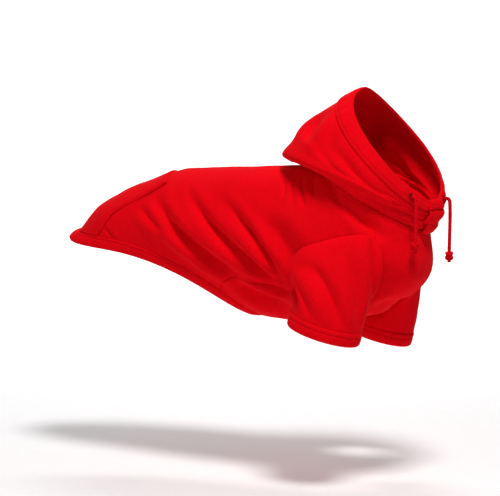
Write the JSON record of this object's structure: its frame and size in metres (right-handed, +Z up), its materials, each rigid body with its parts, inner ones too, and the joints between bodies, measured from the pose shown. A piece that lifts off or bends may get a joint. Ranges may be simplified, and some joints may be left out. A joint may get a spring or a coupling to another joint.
{
  "type": "dog hoodie",
  "caption": "Short-sleeved red fleece dog hoodie in its worn form, with a gathered hood, a drawcord casing with knotted cords and a pouch pocket on the rump.",
  "frame": {"origin": "the withers: the inner face of the back panel's centre line, between the shoulders", "axes": "+X runs to the neck and hood, +Y to the wearer's left, +Z up off the back"},
  "size_m": [0.5519, 0.247, 0.3404],
  "materials": {
    "red_fleece": "matt brushed fleece",
    "red_braid": "matt braided cotton",
    "dark_red_thread": "matt sewing thread"
  },
  "bodies": {
    "root": {"back_panel": "red_fleece", "belly_panel": "red_fleece", "hem_band": "red_fleece", "sleeve_right": "red_fleece", "sleeve_left": "red_fleece", "sleeve_hem_right": "red_fleece", "sleeve_hem_left": "red_fleece", "hood_right": "red_fleece", "hood_left": "red_fleece", "hood_casing": "red_fleece", "back_pocket": "red_fleece", "eyelet_right": "dark_red_thread", "eyelet_left": "dark_red_thread", "drawcord_right": "red_braid", "drawcord_left": "red_braid", "knot_right": "red_braid", "knot_left": "red_braid"}
  },
  "joints": []
}
